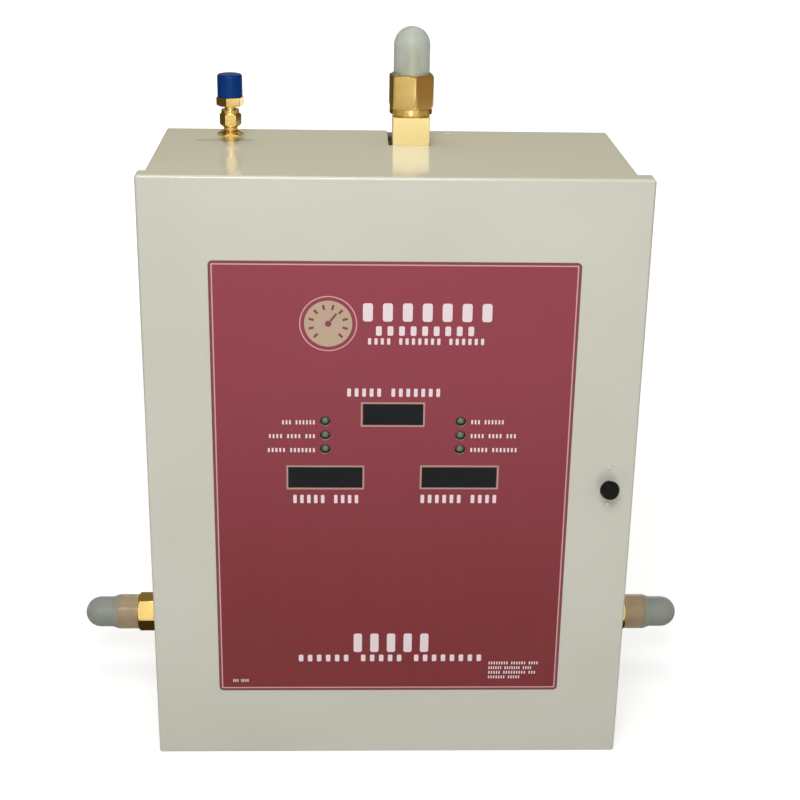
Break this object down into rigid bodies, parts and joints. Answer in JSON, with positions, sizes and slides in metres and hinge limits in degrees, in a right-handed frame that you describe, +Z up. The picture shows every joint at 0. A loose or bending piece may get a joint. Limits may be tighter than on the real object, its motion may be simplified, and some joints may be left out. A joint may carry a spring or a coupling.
{
  "type": "oxygen manifold",
  "caption": "Wall cabinet with a hinged door and display panel, capped side inlets, a capped top outlet and vent, over a gas train of regulators and bent tubes.",
  "frame": {"origin": "centre of the four wall bolts, on the back plate's rear face", "axes": "+Z up, +Y into the wall, +X to the right as seen from the front"},
  "size_m": [0.6246, 0.2303, 0.6764],
  "materials": {
    "cream_powder_coat": "semi-gloss powder coat with a fine texture",
    "galvanised_steel": "galvanised sheet",
    "zinc_plated_steel": "bright zinc plating",
    "stainless_steel": "satin",
    "fitting_brass": "turned, bright",
    "block_brass": "sawn and machined, satin",
    "regulator_bonnet_nickel": "satin nickel plating",
    "copper_tube": "drawn copper",
    "coil_black": "moulded, matte",
    "circuit_board_green": "solder mask",
    "standoff_brass": "plain",
    "terminal_green": "moulded",
    "crimson_overlay": "printed film, satin",
    "display_window": "dark tinted window",
    "display_module": "unlit display",
    "green_lens": "tinted lens, unlit",
    "amber_lens": "tinted lens, unlit",
    "red_lens": "tinted lens, unlit",
    "black_knob": "moulded",
    "milky_cap": "soft translucent polythene",
    "blue_cap": "moulded"
  },
  "bodies": {
    "root": {"back_plate": "galvanised_steel", "block_brackets": "galvanised_steel", "cabinet_shell": "cream_powder_coat", "shell_screws": "zinc_plated_steel", "block_bolts": "zinc_plated_steel", "regulator_screws": "zinc_plated_steel", "hinge_box_leaf": "stainless_steel", "hinge_pin": "stainless_steel", "pressure_transducers": "stainless_steel", "left_inlet_body": "fitting_brass", "right_inlet_body": "fitting_brass", "outlet_nipple": "fitting_brass", "tube_nuts": "fitting_brass", "vent_body": "fitting_brass", "vent_locknut": "fitting_brass", "vent_nut": "fitting_brass", "vent_adapter": "fitting_brass", "relief_valve": "fitting_brass", "left_inlet_block": "block_brass", "right_inlet_block": "block_brass", "changeover_block": "block_brass", "outlet_block": "block_brass", "left_regulator_body": "block_brass", "right_regulator_body": "block_brass", "line_regulator_body": "block_brass", "left_regulator_bonnet": "regulator_bonnet_nickel", "right_regulator_bonnet": "regulator_bonnet_nickel", "line_regulator_bonnet": "regulator_bonnet_nickel", "left_inlet_tube": "copper_tube", "right_inlet_tube": "copper_tube", "left_crossover_tube": "copper_tube", "right_crossover_tube": "copper_tube", "riser_tubes": "copper_tube", "vent_tube": "copper_tube", "solenoids": "coil_black", "power_transformer": "coil_black", "control_board": "circuit_board_green", "board_standoffs": "standoff_brass", "terminal_block": "terminal_green"},
    "door": {"door_panel": "cream_powder_coat", "label_overlay": "crimson_overlay", "display_windows": "display_window", "display_board": "circuit_board_green", "display_modules": "display_module", "green_lamps": "green_lens", "amber_lamps": "amber_lens", "red_lamps": "red_lens", "display_standoffs": "zinc_plated_steel", "latch_plate": "zinc_plated_steel", "hinge_door_leaf": "stainless_steel", "latch_bushing": "stainless_steel"},
    "latch": {"latch_knob": "black_knob", "latch_cam": "zinc_plated_steel"},
    "outlet_nut": {"outlet_union_nut": "fitting_brass"},
    "outlet_cap": {"outlet_cap": "milky_cap"},
    "left_cap": {"left_cap": "milky_cap"},
    "right_cap": {"right_cap": "milky_cap"},
    "vent_cap": {"vent_cap": "blue_cap"}
  },
  "joints": [
    {"name": "door_hinge", "type": "hinge", "parent": "root", "child": "door", "pos_m": [-0.2175, -0.1932, 0], "axis": [0, 0, -1], "range_deg": [0, 115]},
    {"name": "latch_turn", "type": "hinge", "parent": "door", "child": "latch", "pos_m": [0.2012, -0.2, -0.0003], "axis": [0, -1, 0], "range_deg": [0, 90]},
    {"name": "outlet_nut_spin", "type": "hinge", "parent": "root", "child": "outlet_nut", "pos_m": [0.02, -0.052, 0.3085], "axis": [0, 0, 1], "continuous": true},
    {"name": "outlet_cap_pull", "type": "slide", "parent": "outlet_nut", "child": "outlet_cap", "axis": [0, 0, 1], "range_m": [0, 0.06]},
    {"name": "left_cap_pull", "type": "slide", "parent": "root", "child": "left_cap", "axis": [-1, 0, 0], "range_m": [0, 0.06]},
    {"name": "right_cap_pull", "type": "slide", "parent": "root", "child": "right_cap", "axis": [1, 0, 0], "range_m": [0, 0.06]},
    {"name": "vent_cap_pull", "type": "slide", "parent": "root", "child": "vent_cap", "axis": [0, 0, 1], "range_m": [0, 0.04]}
  ]
}
